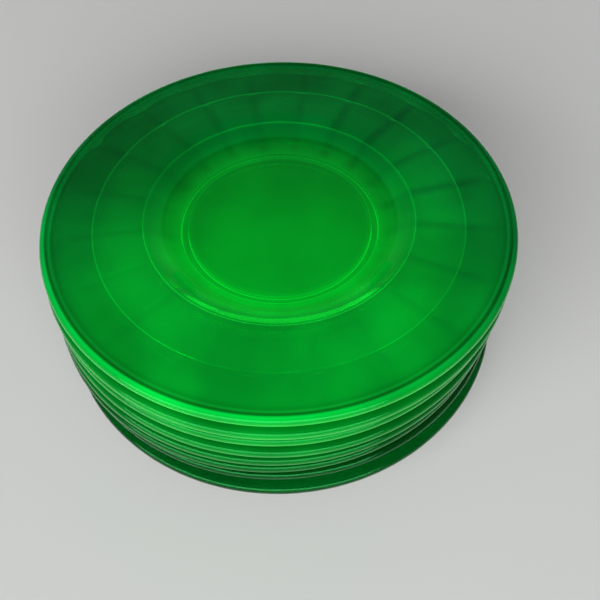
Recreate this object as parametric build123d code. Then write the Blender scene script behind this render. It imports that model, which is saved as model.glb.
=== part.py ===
"""A stack of eight pressed-glass dessert plates, each one a separate solid.

Every plate has the same shape: a flat round well on a low foot ring, a cove that rises to a wide,
nearly flat brim, and a rounded rim. The top face is smooth. The underside carries the block pattern,
which is two stepped rings crossed by evenly spaced radial grooves. A plate's foot ring rests on the
well floor of the plate below it, with a little sideways play, so the plates sit slightly off centre.

Millimetres, +Z up. The origin is under the middle of the stack, on the surface it stands on.
"""

import os
from math import radians, tan

from build123d import *

# Driving dimensions of one plate
plate_radius = 76.2
plate_height = 13.0
floor_thickness = 3.0
foot_height = 3.4
foot_outer_radius = 32.7
foot_width = 2.4
foot_fillet = 0.6
nesting_play = 2.4  # how much wider the flat of the well is than the foot that stands on it

# Top face: cove and brim
cove_angle = 36.0
cove_fillet = 5.0
brim_rise = 0.6  # from the top of the cove out to the rim bead
brim_fillet = 9.0

# Rim bead
bead_width = 3.5
bead_thickness = 3.5
bead_lip = 0.5  # how far the bead stands above the brim
bead_shoulder = 0.9  # how far the bead's inner shoulder slopes
bead_fillet = 1.6
shoulder_fillet = 0.7

# Underside: stepped rings and radial grooves
inner_ring_offset = 0.2  # outside the top of the cove
outer_ring_share = 0.55  # of the way from the inner ring to the rim bead
inner_step_height = 0.75  # each band starts this much thicker, and thins out towards the next ring
outer_step_height = 0.55
step_draft = 0.25
brim_thickness = 2.7  # at the thin outer edge of each band
underside_cove_fillet = 4.0
panel_count = 20
groove_width = 2.0
groove_depth = 0.4
groove_end_margin = 0.9  # glass left between a groove's closed end and the next feature
groove_overrun = 0.6  # how far an open end runs out past the step

# The stack, from the bottom plate up: name, sideways shift as a share of the nesting play, and turn
# of the pattern in degrees. Neighbours differ by less than the whole play.
stack_plan = [
    ("bottom_plate", (0.31, -0.42), 5.0),
    ("plate_2", (0.04, 0.42), 61.0),
    ("plate_3", (-0.44, 0.31), 27.0),
    ("plate_4", (-0.17, 0.08), 83.0),
    ("plate_5", (0.10, -0.04), 44.0),
    ("plate_6", (0.08, 0.19), 12.0),
    ("plate_7", (0.31, -0.25), 70.0),
    ("top_plate", (0.44, 0.08), 10.5),
]

# Derived sizes
floor_top = foot_height + floor_thickness
nesting_pitch = floor_top
floor_radius = foot_outer_radius + nesting_play
foot_inner_radius = foot_outer_radius - foot_width
cove_slope = tan(radians(cove_angle))
half_angle_tan = tan(radians(cove_angle / 2))
cove_start_radius = floor_radius + cove_fillet * half_angle_tan
brim_outer_height = plate_height - bead_lip
brim_inner_height = brim_outer_height - brim_rise
cove_end_radius = cove_start_radius + (brim_inner_height - floor_top) / cove_slope
bead_start_radius = plate_radius - bead_width
bead_bottom = plate_height - bead_thickness
brim_slope = brim_rise / (bead_start_radius - cove_end_radius)
inner_ring_radius = cove_end_radius + inner_ring_offset
inner_band_start = inner_ring_radius + step_draft
outer_ring_radius = inner_ring_radius + outer_ring_share * (bead_start_radius - inner_ring_radius)
outer_band_start = outer_ring_radius + step_draft


def brim_top(radius):
    """Height of the brim's smooth top face at a radius."""
    return brim_inner_height + brim_slope * (radius - cove_end_radius)


def band_thin(radius):
    """Height of the underside just inside a ring or the rim bead, where the glass is thinnest."""
    return brim_top(radius) - brim_thickness


inner_band_height = band_thin(inner_band_start) - inner_step_height
outer_band_height = band_thin(outer_band_start) - outer_step_height
cove_outer_height = band_thin(inner_ring_radius)
underside_cove_radius = inner_ring_radius - (cove_outer_height - foot_height) / cove_slope


def plate_outline():
    """Half section of a plate in the XZ plane: the top face outwards, then the underside back in."""
    corners = [  # radius, height, fillet radius
        (cove_start_radius, floor_top, cove_fillet),
        (cove_end_radius, brim_inner_height, brim_fillet),
        (bead_start_radius, brim_outer_height, shoulder_fillet),
        (bead_start_radius + bead_shoulder, plate_height, shoulder_fillet),
        (plate_radius, plate_height, bead_fillet),
        (plate_radius, bead_bottom, bead_fillet),
        (bead_start_radius, band_thin(bead_start_radius), shoulder_fillet),
        (outer_band_start, outer_band_height, 0),
        (outer_ring_radius, band_thin(outer_ring_radius), 0),
        (inner_band_start, inner_band_height, 0),
        (inner_ring_radius, cove_outer_height, 0),
        (underside_cove_radius, foot_height, underside_cove_fillet),
        (foot_outer_radius, foot_height, 0),
        (foot_outer_radius, 0.0, foot_fillet),
        (foot_inner_radius, 0.0, foot_fillet),
        (foot_inner_radius, foot_height, 0),
    ]
    points = [(0.0, floor_top)] + [(r, z) for r, z, _ in corners] + [(0.0, foot_height)]
    edge = FilletPolyline(*points, radius=[fillet for _, _, fillet in corners])
    axis_edge = Line((0.0, foot_height), (0.0, floor_top))
    return Plane.XZ * make_face(edge.edges() + axis_edge.edges())


def groove_cutter(start, end):
    """A V-shaped bar below the underside line from start to end, each a radius and a height."""
    start_point = Vector(start[0], 0, start[1])
    run = Vector(end[0], 0, end[1]) - start_point
    spread = groove_width / 2 * (groove_depth + groove_width) / groove_depth
    section = Plane(origin=start_point, x_dir=(0, 1, 0), z_dir=run.normalized())
    wedge = Polyline(
        (0, groove_depth), (-spread, -groove_width), (spread, -groove_width), close=True
    )
    return extrude(section * make_face(wedge), amount=run.length, dir=run.normalized())


def band_groove(band_start, start_height, band_end):
    """A groove along a band, open at the step it starts from and closed before the band's end."""
    slope = (band_thin(band_end) - start_height) / (band_end - band_start)
    groove_end = band_end - groove_end_margin
    return groove_cutter(
        (band_start - groove_overrun, start_height - groove_overrun * slope),
        (groove_end, start_height + (groove_end - band_start) * slope),
    )


def panel_cutters():
    """The three grooves of one panel line: up the cove, then along the inner and the outer band."""
    cove_start = underside_cove_radius + underside_cove_fillet / 2 + groove_end_margin
    cove_end = inner_ring_radius - groove_end_margin
    cove_groove = groove_cutter(
        (cove_start, cove_outer_height - (inner_ring_radius - cove_start) * cove_slope),
        (cove_end, cove_outer_height - (inner_ring_radius - cove_end) * cove_slope),
    )
    return [
        cove_groove,
        band_groove(inner_band_start, inner_band_height, outer_ring_radius),
        band_groove(outer_band_start, outer_band_height, bead_start_radius),
    ]


def make_plate():
    """One plate, standing on its foot ring at the origin."""
    plate = revolve(plate_outline(), Axis.Z)
    panel_angle = 360.0 / panel_count
    cutters = []
    for panel in range(panel_count):
        cutters += [Rotation(0, 0, panel * panel_angle) * cutter for cutter in panel_cutters()]
    return plate - cutters


def main():
    os.makedirs("parts", exist_ok=True)
    plate = make_plate()
    for level, (name, shift, turn) in enumerate(stack_plan):
        shift_x, shift_y = (nesting_play * share for share in shift)
        place = Pos(shift_x, shift_y, level * nesting_pitch) * Rotation(0, 0, turn)
        seated = place * plate
        seated.label = name
        export_step(seated, f"parts/{name}.step")
        print(name, "volume", round(seated.volume), "foot height", round(level * nesting_pitch, 2))


main()
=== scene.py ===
import math

import bpy
import numpy as np
from mathutils import Euler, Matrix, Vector


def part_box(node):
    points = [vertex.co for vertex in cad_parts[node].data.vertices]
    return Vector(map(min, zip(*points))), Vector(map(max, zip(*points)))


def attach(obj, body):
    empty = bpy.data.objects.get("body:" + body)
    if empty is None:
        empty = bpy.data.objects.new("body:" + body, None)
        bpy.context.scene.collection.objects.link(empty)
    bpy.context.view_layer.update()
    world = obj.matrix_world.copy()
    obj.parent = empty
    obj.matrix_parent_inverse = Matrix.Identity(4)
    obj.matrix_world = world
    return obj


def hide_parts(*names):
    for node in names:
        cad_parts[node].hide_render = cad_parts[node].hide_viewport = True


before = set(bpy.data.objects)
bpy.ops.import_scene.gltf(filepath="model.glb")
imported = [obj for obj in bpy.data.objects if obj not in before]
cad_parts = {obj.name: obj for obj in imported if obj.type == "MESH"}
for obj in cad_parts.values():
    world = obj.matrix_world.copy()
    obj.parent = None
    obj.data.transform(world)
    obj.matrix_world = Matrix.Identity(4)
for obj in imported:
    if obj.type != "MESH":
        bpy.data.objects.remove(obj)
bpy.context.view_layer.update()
mm = 0.001

# from the table up, each with the turn of its pattern in degrees
plateTurns = {
    "bottom_plate": 5.0,
    "plate_2": 61.0,
    "plate_3": 27.0,
    "plate_4": 83.0,
    "plate_5": 44.0,
    "plate_6": 12.0,
    "plate_7": 70.0,
    "top_plate": 10.5,
}


def deselectAll():
    if bpy.context.mode != "OBJECT":
        bpy.ops.object.mode_set(mode="OBJECT")
    bpy.ops.object.select_all(action="DESELECT")


def makeActive(obj):
    deselectAll()
    obj.select_set(True)
    bpy.context.view_layer.objects.active = obj


def selectVertices(obj, wanted):
    # wanted takes a vertex place in millimetres; leaves the object in edit mode
    bpy.ops.object.mode_set(mode="EDIT")
    bpy.ops.mesh.select_mode(type="VERT")
    bpy.ops.mesh.select_all(action="DESELECT")
    bpy.ops.object.mode_set(mode="OBJECT")
    for vertex in obj.data.vertices:
        vertex.select = wanted(vertex.co / mm)
    bpy.ops.object.mode_set(mode="EDIT")


# the plate is one outline, rounded at its corners and spun
plate = {
    "panels": 20,
    "spokes": 440,  # a multiple of the panels, so that each panel line has its own vertices
    "rowSpacing": 0.8,  # between two spun rows of brim or cove
    "wellSpacing": 4.0,
    "wellEdge": 35,  # outside this radius the rows are close
    "stretch": 1.5,  # an edge is divided when it is this many spacings long
    "sameSpot": 0.001,  # vertices this close are one place
    "atAxis": 0.001,  # share of the radius that counts as the axis
    "mergeWithin": 0.004,
    "well": {"top": 6.4, "under": 3.4},
    # each corner: radius, height, reach of its rounding along both sides, segments
    "corners": [
        (36.72, 6.4, 1.62, 8),  # well floor into the cove
        (44.3, 11.9, 2.9, 10),  # cove into the brim
        (72.7, 12.5, 0.4, 4),  # groove inside the rim
        (73.6, 13.0, 0.4, 4),
        (76.15, 13.0, 1.55, 7),  # fire-polished rim
        (76.15, 9.5, 1.55, 7),
        (72.7, 9.8, 0.5, 4),
        (60.26, 8.99, 0.2, 2),  # outer ring
        (60.01, 9.53, 0.12, 2),
        (44.75, 8.46, 0.25, 3),  # inner ring
        (44.5, 9.2, 0.12, 2),
        (36.51, 3.4, 1.3, 6),
        (32.7, 3.4, 0.35, 3),  # foot ring
        (32.7, 0.03, 0.6, 5),  # a hair of air under it, so that no two faces coincide
        (30.3, 0.03, 0.6, 5),
        (30.3, 3.4, 0.4, 3),
    ],
}

outerRadius = plate["corners"][4][0]

relief = {
    "faceSlope": 0.3,  # a face counts as upper or under when its normal's z passes this
    "creaseDepth": 0.26,
    "creaseReach": 2.4,  # either side of a panel line
    "pillowDepth": 0.30,
    "pillowPower": 1.5,
    "coveShare": 0.15,  # of the brim's relief that the cove shows
    "cove": (37.6, 44.4),
    "innerBand": (45.0, 59.8),
    "outerBand": (60.5, 72.0),
    "fade": 1.2,  # a band's relief dies out over this at its ends
    "leastWeight": 0.002,
}
topWave = {  # how far from flat the pressed upper face is, from the cove to the rim
    "depth": 0.03,
    "waves": ((9.0, 0.7), (7.0, 2.1)),  # along x and y: length / tau, phase
    "inner": (40.0, 6.0),  # where it starts, and over how much it grows
    "outer": (72.0, 4.0),
}
upwardFade = (-0.75, 1.1)  # the normal's z where a face starts to count as up, and over how much


def drawOutline():
    bpy.ops.mesh.primitive_plane_add(size=0.01, location=(0, 0, 0))
    outline = bpy.context.active_object
    bpy.ops.object.mode_set(mode="EDIT")
    bpy.ops.mesh.select_all(action="SELECT")
    bpy.ops.mesh.merge(type="CENTER")
    here = Vector((0, 0, plate["well"]["top"]))
    bpy.ops.transform.translate(value=here * mm)
    stops = [corner[:2] for corner in plate["corners"]] + [(0, plate["well"]["under"])]
    for radius, height in stops:
        there = Vector((radius, 0, height))
        bpy.ops.mesh.extrude_region_move(TRANSFORM_OT_translate={"value": (there - here) * mm})
        here = there
    for radius, height, reach, segments in plate["corners"]:
        corner = Vector((radius, 0, height))
        selectVertices(outline, lambda place: (place - corner).length < plate["sameSpot"])
        bpy.ops.mesh.bevel(
            offset=reach * mm, segments=segments, affect="VERTICES", clamp_overlap=False
        )
    return outline


def divideLongEdges(outline):
    # brim, cove and floor get rows close enough for the relief and for smooth reflections
    bpy.ops.object.mode_set(mode="OBJECT")
    mesh = outline.data
    longEdges = []
    for edge in mesh.edges:
        a, b = (mesh.vertices[i].co / mm for i in edge.vertices)
        isBrim = max(a.x, b.x) > plate["wellEdge"]
        spacing = plate["rowSpacing" if isBrim else "wellSpacing"]
        if (b - a).length > spacing * plate["stretch"]:
            longEdges.append((a, b, math.ceil((b - a).length / spacing) - 1))
    for a, b, cuts in longEdges:
        selectVertices(
            outline,
            lambda place: min((place - a).length, (place - b).length) < plate["sameSpot"],
        )
        bpy.ops.mesh.subdivide(number_cuts=cuts)


def spinOutline(outline):
    bpy.ops.mesh.select_all(action="SELECT")
    bpy.ops.mesh.spin(
        steps=plate["spokes"],
        angle=math.tau,
        center=(0, 0, 0),
        axis=(0, 0, 1),
        use_auto_merge=True,
    )
    bpy.ops.mesh.select_all(action="SELECT")
    bpy.ops.mesh.remove_doubles(threshold=plate["mergeWithin"] * mm)
    bpy.ops.mesh.normals_make_consistent(inside=False)
    bpy.ops.object.mode_set(mode="OBJECT")


def smooth(value):
    value = np.clip(value, 0, 1)
    return value * value * (3 - 2 * value)


def vertexValues(obj, kind):
    flat = np.empty(len(obj.data.vertices) * 3)
    obj.data.vertices.foreach_get(kind, flat)
    return flat.reshape(-1, 3)


def vertexPlaces(obj):
    return vertexValues(obj, "co") / mm


def bandShare(radius, band):
    low, high = band
    fade = relief["fade"]
    return smooth((radius - low) / fade) * smooth((high - radius) / fade)


def paintGroup(obj, name, weights):
    group = obj.vertex_groups.new(name=name)
    for index in np.nonzero(weights > relief["leastWeight"])[0]:
        group.add([int(index)], float(weights[index]), "REPLACE")


def raiseByGroup(obj, name, weights, height):
    paintGroup(obj, name, weights)
    lift = obj.modifiers.new(name, "DISPLACE")
    lift.direction = "Z"
    lift.mid_level = 0
    lift.strength = height * mm
    lift.vertex_group = name
    makeActive(obj)
    bpy.ops.object.modifier_apply(modifier=lift.name)


def pressRelief(obj):
    # the underside has a crease at each panel line and pillowed blocks between, and the top waves
    places = vertexPlaces(obj)
    radius = np.hypot(places[:, 0], places[:, 1])
    panelAngle = math.tau / plate["panels"]
    turn = np.arctan2(places[:, 1], places[:, 0]) / panelAngle
    fromLine = np.abs(turn - np.round(turn))  # 0 on a panel line, 0.5 in mid panel
    across = fromLine * panelAngle * radius
    normals = vertexValues(obj, "normal")
    isUnder = normals[:, 2] < -relief["faceSlope"]
    share = (
        bandShare(radius, relief["innerBand"])
        + bandShare(radius, relief["outerBand"])
        + bandShare(radius, relief["cove"]) * relief["coveShare"]
    ) * isUnder
    crease = smooth(1 - across / relief["creaseReach"])
    pillow = smooth(1 - fromLine * 2) ** relief["pillowPower"]
    raiseByGroup(obj, "crease", crease * share, relief["creaseDepth"])
    raiseByGroup(obj, "pillow", pillow * share, relief["pillowDepth"])
    isTop = normals[:, 2] > relief["faceSlope"]
    waves = [
        np.sin(places[:, axis] / length + phase)
        for axis, (length, phase) in enumerate(topWave["waves"])
    ]
    wave = 0.5 + 0.25 * sum(waves)  # 0 to 1
    (inner, grow), (outer, fade) = topWave["inner"], topWave["outer"]
    onBrim = smooth((radius - inner) / grow) * smooth((outer - radius) / fade) * isTop
    raiseByGroup(obj, "topWave", wave * onBrim, -topWave["depth"])
    obj.vertex_groups.clear()


def mapPanels(obj):
    # u counts the panels round the plate, v is the share of its radius
    mesh = obj.data
    places = vertexPlaces(obj)
    radius = np.hypot(places[:, 0], places[:, 1]) / outerRadius
    turn = np.arctan2(places[:, 1], places[:, 0]) / math.tau * plate["panels"]
    cornerVertex = np.empty(len(mesh.loops), int)
    mesh.loops.foreach_get("vertex_index", cornerVertex)
    firstCorner = np.empty(len(mesh.polygons), int)
    cornerCount = np.empty(len(mesh.polygons), int)
    mesh.polygons.foreach_get("loop_start", firstCorner)
    mesh.polygons.foreach_get("loop_total", cornerCount)
    faceOfCorner = np.repeat(np.arange(len(mesh.polygons)), cornerCount)
    turnAtCorner = turn[cornerVertex]
    # a face across the seam, or one that meets the axis, takes its turn from its other corners
    atAxis = radius[cornerVertex] < plate["atAxis"]
    known = np.where(atAxis, -np.inf, turnAtCorner)
    highest = np.maximum.reduceat(known, firstCorner)[faceOfCorner]
    pastSeam = highest - turnAtCorner > plate["panels"] / 2
    turnAtCorner = np.where(pastSeam, turnAtCorner + plate["panels"], turnAtCorner)
    turnAtCorner = np.where(atAxis, highest, turnAtCorner)
    uv = np.stack([turnAtCorner, radius[cornerVertex]], axis=1)
    layer = mesh.uv_layers.new(name="panelMap")
    layer.data.foreach_set("uv", uv.astype(np.float32).ravel())
    # how far each place faces up, so the shadowed underside can glow less
    start, grow = upwardFade
    upward = smooth((vertexValues(obj, "normal")[:, 2] - start) / grow)
    attribute = mesh.attributes.new("upward", "FLOAT", "POINT")
    attribute.data.foreach_set("value", upward.astype(np.float32))


def makePlate():
    deselectAll()
    outline = drawOutline()
    divideLongEdges(outline)
    spinOutline(outline)
    pressRelief(outline)
    mapPanels(outline)
    makeActive(outline)
    bpy.ops.object.shade_smooth()
    outline.name = "plateMaster"
    mesh = outline.data
    print("plate modelled:", len(mesh.vertices), "vertices", len(mesh.polygons), "faces")
    return outline


glass = {
    "bodyDeep": (0.0, 0.13, 0.014),
    "bodyPale": (0.0, 0.17, 0.018),
    # painted light: this emission glow stands in for the glass fluorescing under an ultraviolet
    # lamp, which the scene doesn't have
    "glow": (0.0, 1.0, 0.09),
    "glowAway": (0.0, 1.0, 0.22),  # painted tint: bluer where the painted lamp pool is far off
    "glowStrength": 0.60,
    "sheen": (0.12, 1.0, 0.3),  # the glow drowns the red of what the surface mirrors
    "transmission": 0.9,
    "ior": 1.5,
    "waveStrength": 0.25,
    "waveHeight": 0.0004,
}

# what each place's painted light and shade is measured from, in metres from the stack's axis
lampAim = {
    "spot": (-0.002, -0.040, 0),  # where the painted lamp light is brightest
    "shade": (-0.064, 0.024, 0),  # the middle of the painted shade on the darkest side
    "rim": (-0.060, -0.052, 0),  # the brightest part of the rim's painted highlight
}

# painted glow of the underside, with the painted light and shade of its pressed relief; each
# pair: share of the plate's radius, brightness
underGlow = [
    (0.000, 0.72),
    (0.372, 0.74),
    (0.400, 1.02),
    (0.435, 1.34),
    (0.500, 1.04),
    (0.520, 0.82),
    (0.552, 0.58),
    (0.575, 0.46),
    (0.583, 0.52),
    (0.591, 0.46),
    (0.630, 0.56),
    (0.720, 0.64),
    (0.780, 0.60),
    (0.794, 0.46),
    (0.835, 0.50),
    (0.900, 0.60),
    (0.945, 0.46),
    (0.985, 0.22),
]
ringGlow = [  # painted highlight at the two step walls, which face inward and so show on the far side
    (0.5770, 0.00),
    (0.5795, 1.00),
    (0.5850, 1.00),
    (0.5870, 0.00),
    (0.7815, 0.00),
    (0.7835, 0.80),
    (0.7885, 0.80),
    (0.7905, 0.00),
]
upperGlow = [  # the top plate's upper face, from the cove out: painted glow, with painted highlight bands and painted shade near the rim
    (0.580, 0.23),
    (0.930, 0.24),
    (0.948, 0.16),
    (0.956, 0.36),
    (0.961, 0.26),
    (0.966, 0.06),
    (0.973, 0.08),
    (0.980, 0.70),
    (0.988, 0.62),
    (1.000, 0.40),
]
coveredGlow = [  # painted shade: well floors, and upper faces that another plate covers, glow less
    (0.975, 0.10),
    (0.990, 0.20),
    (1.000, 0.34),
]
creaseZones = [  # here the second number is how strongly the painted crease shade shows
    (0.430, 0.00),
    (0.470, 0.40),
    (0.570, 0.40),
    (0.590, 1.00),
    (0.700, 0.80),
    (0.775, 0.55),
    (0.795, 1.00),
    (0.860, 0.75),
    (0.925, 0.25),
    (0.945, 0.00),
]

# each: low and high of what comes in, then what goes out at each
ranges = {
    # by share of the radius
    "blocksHere": (0.46, 0.60, 0.0, 1.0),
    "patchesHere": (0.36, 0.55, 0.25, 1.0),
    "rimHere": (0.962, 0.976, 0.0, 1.0),
    # painted light and shade, by metres from one of the places in lampAim
    "creaseAway": (0.025, 0.085, 0.20, 1.10),
    "creaseSide": (0.050, 0.130, 0.45, 1.0),
    "farWallHighlight": (0.055, 0.100, 0.10, 1.5),
    "lampShade": (0.022, 0.115, 1.12, 0.26),
    "darkSide": (0.008, 0.060, 0.60, 1.0),
    "rimExcess": (0.020, 0.150, 0.60, -0.42),
    "bluer": (0.04, 0.11, 0.0, 1.0),
    # painted shade, by height above the table: covered faces, and lower plates that less lamp
    # light reaches
    "aboveCovered": (0.052, 0.053, 0.0, 1.0),
    "lampFromAbove": (0.010, 0.056, 0.02, 1.0),
    # by how far the face turns up
    "facesUp": (0.45, 0.65, 0.0, 1.0),
    # painted crease shade, by millimetres from a panel line, and how far noise moves them
    "crease": (0.1, 3.2, 1.0, 0.0),
    "raggedEdge": (0.3, 0.7, -0.35, 0.35),
    # painted crease and block shade, by a random number for each line or block
    "lineStrength": (0.0, 1.0, 0.65, 1.1),
    "blockLoss": (0.0, 1.0, 0.0, 0.18),
    # by noise
    # uneven painted glow
    "patchLoss": (0.3, 0.7, 0.28, 0.0),
    "bodyTint": (0.3, 0.7, 0.0, 1.0),
    "roughness": (0.45, 0.8, 0.03, 0.12),
}
baseBrightness = {"block": 1.06, "patch": 1.1}  # of the painted glow, before what each loses
bandSplit = 0.787  # share of the radius between the two bands of blocks
bandSeed = 37.0

noises = {  # scale, detail
    "raggedEdge": (220.0, 2.0),
    "patches": (42.0, 2.0),
    "smears": (90.0, 4.0),
    "waviness": (55.0, 1.0),
}
nodeGrid = {"rows": 8, "width": 200, "height": 260}  # of the node editor


def addNode(tree, kind, label="", **settings):
    column, row = divmod(len(tree.nodes), nodeGrid["rows"])
    node = tree.nodes.new(kind)
    node.location = (column * nodeGrid["width"], -row * nodeGrid["height"])
    node.label = label
    for key, value in settings.items():
        setattr(node, key, value)
    return node


def connect(tree, values, sockets):
    # each value is a number or colour, or another node's output
    for value, socket in zip(values, sockets):
        if isinstance(value, bpy.types.NodeSocket):
            tree.links.new(value, socket)
        else:
            socket.default_value = value


def mathNode(tree, operation, *values, label=""):
    node = addNode(tree, "ShaderNodeMath", label, operation=operation)
    connect(tree, values, node.inputs)
    return node.outputs[0]


def multiply(tree, *factors):
    result = factors[0]
    for factor in factors[1:]:
        result = mathNode(tree, "MULTIPLY", result, factor)
    return result


def mixNode(tree, kind, factor, first, second, label, **settings):
    node = addNode(tree, "ShaderNodeMix", label, data_type=kind, **settings)
    connect(tree, (factor, first, second), [node.inputs[name] for name in ("Factor", "A", "B")])
    return node.outputs["Result"]


def rampNode(tree, share, stops, label):
    node = addNode(tree, "ShaderNodeValToRGB", label)
    elements = node.color_ramp.elements
    elements[0].position, elements[1].position = stops[0][0], stops[-1][0]
    for position, _ in stops[1:-1]:
        elements.new(position)
    for element, (position, value) in zip(elements, stops):
        element.position = position
        element.color = (value, value, value, 1)
    tree.links.new(share, node.inputs["Fac"])
    return node.outputs["Color"]


def rangeNode(tree, value, name):
    node = addNode(tree, "ShaderNodeMapRange", name, interpolation_type="SMOOTHSTEP")
    sockets = [node.inputs[end] for end in ("Value", "From Min", "From Max", "To Min", "To Max")]
    connect(tree, (value, *ranges[name]), sockets)
    return node.outputs["Result"]


def noiseNode(tree, place, name):
    node = addNode(tree, "ShaderNodeTexNoise", name)
    sockets = [node.inputs[setting] for setting in ("Vector", "Scale", "Detail")]
    connect(tree, (place, *noises[name]), sockets)
    return node.outputs["Fac"]


def randomNode(tree, seed, label):
    node = addNode(tree, "ShaderNodeTexWhiteNoise", label, noise_dimensions="1D")
    tree.links.new(seed, node.inputs["W"])
    return node.outputs["Value"]


def readPlace(tree):
    # where a point lies: on the plate, in the stack, and from the places in lampAim
    panelMap = addNode(tree, "ShaderNodeUVMap", uv_map="panelMap")
    split = addNode(tree, "ShaderNodeSeparateXYZ", "panel and radius")
    tree.links.new(panelMap.outputs["UV"], split.inputs["Vector"])
    place = addNode(tree, "ShaderNodeTexCoord").outputs["Object"]
    splitPlace = addNode(tree, "ShaderNodeSeparateXYZ", "place in the stack")
    tree.links.new(place, splitPlace.inputs["Vector"])
    flatPlace = addNode(tree, "ShaderNodeCombineXYZ", "seen from above")
    for axis in ("X", "Y"):
        tree.links.new(splitPlace.outputs[axis], flatPlace.inputs[axis])
    at = {
        "panel": split.outputs["X"],
        "radius": split.outputs["Y"],
        "place": place,
        "height": splitPlace.outputs["Z"],
        "upward": addNode(tree, "ShaderNodeAttribute", attribute_name="upward").outputs["Fac"],
    }
    for name, target in lampAim.items():
        node = addNode(tree, "ShaderNodeVectorMath", "from " + name, operation="DISTANCE")
        connect(tree, (flatPlace.outputs["Vector"], target), node.inputs)
        at[name] = node.outputs["Value"]
    return at


def creaseShade(tree, at):
    # painted shade: dark along each panel line, most of all away from the painted lamp pool, and
    # no two lines alike
    fromLine = mathNode(tree, "PINGPONG", at["panel"], 0.5)
    arc = mathNode(tree, "MULTIPLY", at["radius"], outerRadius * math.tau / plate["panels"])
    across = mathNode(tree, "MULTIPLY", fromLine, arc, label="mm from panel line")
    noise = noiseNode(tree, at["place"], "raggedEdge")
    across = mathNode(tree, "ADD", across, rangeNode(tree, noise, "raggedEdge"))
    lineRandom = randomNode(tree, mathNode(tree, "ROUND", at["panel"]), "line by line")
    loss = multiply(
        tree,
        rangeNode(tree, across, "crease"),
        rampNode(tree, at["radius"], creaseZones, "where creases run"),
        rangeNode(tree, lineRandom, "lineStrength"),
        rangeNode(tree, at["spot"], "creaseAway"),
        rangeNode(tree, at["shade"], "creaseSide"),
    )
    return mathNode(tree, "SUBTRACT", 1.0, loss)


def blockShade(tree, at):
    # painted light and shade: each pressed block catches the light a little differently
    panel = mathNode(tree, "FLOOR", at["panel"])
    band = mathNode(tree, "GREATER_THAN", at["radius"], bandSplit)
    seed = mathNode(tree, "MULTIPLY_ADD", band, bandSeed, panel)
    loss = rangeNode(tree, randomNode(tree, seed, "block by block"), "blockLoss")
    loss = multiply(tree, loss, rangeNode(tree, at["radius"], "blocksHere"))
    return mathNode(tree, "SUBTRACT", baseBrightness["block"], loss)


def patchShade(tree, at, patches):
    # uneven painted glow, calmer in the well
    loss = rangeNode(tree, patches, "patchLoss")
    loss = multiply(tree, loss, rangeNode(tree, at["radius"], "patchesHere"))
    return mathNode(tree, "SUBTRACT", baseBrightness["patch"], loss)


def rimShade(tree, at):
    # painted highlight: the rim glows brighter near the rim place in lampAim, darker far from it
    excess = rangeNode(tree, at["rim"], "rimExcess")
    excess = multiply(tree, excess, rangeNode(tree, at["radius"], "rimHere"))
    return mathNode(tree, "ADD", excess, 1.0)


def glowBrightness(tree, at, patches):
    # painted light and shade: the underside's painted glow carries the pattern, and the polished
    # upper face's glow is plain
    radius = at["radius"]
    # painted pool of lamp light: brighter near the spot in lampAim, darker away from it
    lampShade = rangeNode(tree, at["spot"], "lampShade")
    under = multiply(
        tree,
        rampNode(tree, radius, underGlow, "underside"),
        creaseShade(tree, at),
        blockShade(tree, at),
    )
    # painted highlight on the step walls, strongest far from the painted lamp pool
    walls = rampNode(tree, radius, ringGlow, "step walls")
    walls = multiply(tree, walls, rangeNode(tree, at["spot"], "farWallHighlight"))
    under = mathNode(tree, "ADD", under, walls)
    # painted shade: upper faces that another plate covers glow less, the more so away from the
    # painted lamp pool
    upper = mixNode(
        tree,
        "FLOAT",
        rangeNode(tree, at["height"], "aboveCovered"),
        multiply(tree, rampNode(tree, radius, coveredGlow, "covered upper face"), lampShade),
        rampNode(tree, radius, upperGlow, "upper face"),
        "upper face",
    )
    facesUp = rangeNode(tree, at["upward"], "facesUp")
    # painted light and shade over the whole glow: the lamp pool, the darker side, less light for
    # lower plates, and the rim's highlight
    return multiply(
        tree,
        mixNode(tree, "FLOAT", facesUp, under, upper, "under or upper"),
        patchShade(tree, at, patches),
        lampShade,
        rangeNode(tree, at["shade"], "darkSide"),
        rangeNode(tree, at["height"], "lampFromAbove"),
        rimShade(tree, at),
    )


def colourMix(tree, factor, first, second, label, **settings):
    return mixNode(tree, "RGBA", factor, (*first, 1), second, label, **settings)


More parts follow.
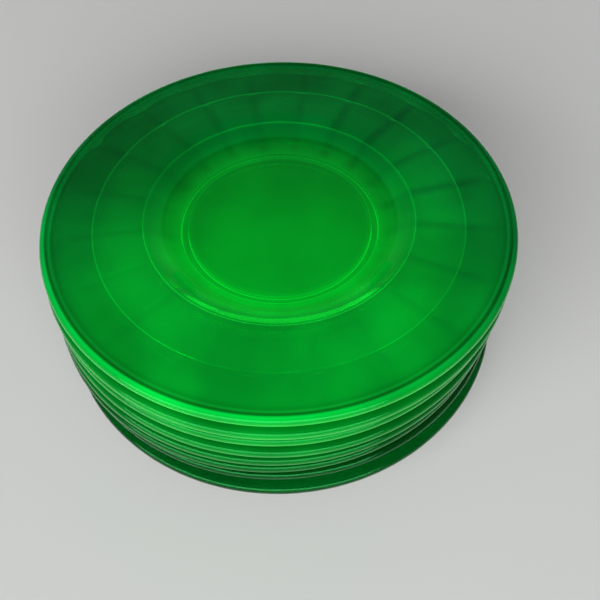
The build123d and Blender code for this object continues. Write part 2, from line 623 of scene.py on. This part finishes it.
def makeGlass():
    material = bpy.data.materials.new("uraniumGlass")
    material.use_nodes = True
    tree = material.node_tree
    tree.nodes.clear()
    at = readPlace(tree)
    patches = noiseNode(tree, at["place"], "patches")
    brightness = glowBrightness(tree, at, patches)
    # painted tint: the glow turns bluer away from the painted lamp pool
    bluer = rangeNode(tree, at["spot"], "bluer")
    tint = colourMix(tree, bluer, glass["glow"], (*glass["glowAway"], 1), "glow tint")
    glow = colourMix(tree, brightness, (0, 0, 0), tint, "glow", clamp_factor=False)
    bodyTint = rangeNode(tree, patches, "bodyTint")
    body = colourMix(tree, bodyTint, glass["bodyDeep"], (*glass["bodyPale"], 1), "body")

    # fine wear: faint smears in the polish, and the slight waviness of pressed glass
    smears = noiseNode(tree, at["place"], "smears")
    bump = addNode(tree, "ShaderNodeBump", "waviness")
    bump.inputs["Strength"].default_value = glass["waveStrength"]
    bump.inputs["Distance"].default_value = glass["waveHeight"]
    tree.links.new(noiseNode(tree, at["place"], "waviness"), bump.inputs["Height"])

    shader = addNode(tree, "ShaderNodeBsdfPrincipled", "glass")
    inputs = {
        "Base Color": body,
        "Roughness": rangeNode(tree, smears, "roughness"),
        "Normal": bump.outputs["Normal"],
        "Emission Color": glow,
        "Emission Strength": glass["glowStrength"],
        "IOR": glass["ior"],
        "Specular Tint": (*glass["sheen"], 1),
        "Transmission Weight": glass["transmission"],
    }
    connect(tree, inputs.values(), [shader.inputs[name] for name in inputs])
    output = addNode(tree, "ShaderNodeOutputMaterial")
    tree.links.new(shader.outputs["BSDF"], output.inputs["Surface"])
    return material


def buildStack():
    master = makePlate()
    master.data.materials.append(makeGlass())
    for name, turn in plateTurns.items():
        low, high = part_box(name)
        makeActive(master)
        bpy.ops.object.duplicate(linked=False)
        piece = bpy.context.active_object
        piece.name = name + "_glass"
        piece.rotation_euler = (0, 0, math.radians(turn))
        piece.location = ((low.x + high.x) / 2, (low.y + high.y) / 2, low.z)
        bpy.ops.object.transform_apply(location=True, rotation=True, scale=True)
        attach(piece, name)
        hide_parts(name)
    bpy.data.objects.remove(master)
    print("stack built")


buildStack()


room = {
    "floorSize": 6,
    "floorRoughness": 0.7,
    "floorColour": (0.84, 0.84, 0.83),
    "worldColour": (0.5, 0.5, 0.5),
    "worldStrength": 0.24,
}
frontLamp = {  # in front, with its top edge low, so that the brims don't mirror it
    "place": (-0.5, -2.45, 1.3),
    "size": (6.0, 1.8),
    "power": 165.0,
}
cameraView = {
    "lens": 43.1,
    "down": 51.7,  # degrees below level
    "roll": 0.36,
    "fromRim": (6.6, -157.8, 172.1),  # in mm, from the middle of the top rim
    "rimHeight": 11.9,  # of that middle, above the top plate's foot
    "shift": -0.0667,
}


def buildRoom():
    deselectAll()
    bpy.ops.mesh.primitive_plane_add(size=room["floorSize"], location=(0, 0, 0))
    floor = bpy.context.active_object
    floor.name = "floor"
    material = bpy.data.materials.new("paleFloor")
    material.use_nodes = True
    shader = material.node_tree.nodes["Principled BSDF"]
    shader.inputs["Base Color"].default_value = (*room["floorColour"], 1)
    shader.inputs["Roughness"].default_value = room["floorRoughness"]
    floor.data.materials.append(material)
    world = bpy.data.worlds.new("softRoom")
    bpy.context.scene.world = world
    world.use_nodes = True
    background = world.node_tree.nodes["Background"]
    background.inputs["Color"].default_value = (*room["worldColour"], 1)
    background.inputs["Strength"].default_value = room["worldStrength"]


def addLamp():
    bpy.ops.object.light_add(type="AREA", location=frontLamp["place"])
    lamp = bpy.context.active_object
    lamp.name = "front"
    lamp.data.shape = "RECTANGLE"
    lamp.data.size, lamp.data.size_y = frontLamp["size"]
    lamp.data.energy = frontLamp["power"]
    lamp.rotation_euler = (-Vector(frontLamp["place"])).to_track_quat("-Z", "Y").to_euler()


def placeCamera():
    low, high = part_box("top_plate")
    rim = (low + high) / 2
    rim.z = low.z + cameraView["rimHeight"] * mm
    bpy.ops.object.camera_add(location=rim + Vector(cameraView["fromRim"]) * mm)
    camera = bpy.context.active_object
    tilt = Euler((math.radians(90 - cameraView["down"]), 0, 0)).to_quaternion()
    roll = Euler((0, 0, math.radians(-cameraView["roll"]))).to_quaternion()
    camera.rotation_euler = (tilt @ roll).to_euler()
    camera.data.lens = cameraView["lens"]
    camera.data.shift_y = cameraView["shift"]
    bpy.context.scene.camera = camera


buildRoom()
addLamp()
placeCamera()
bpy.context.scene.view_settings.view_transform = "Standard"
print("room, lights and camera set")
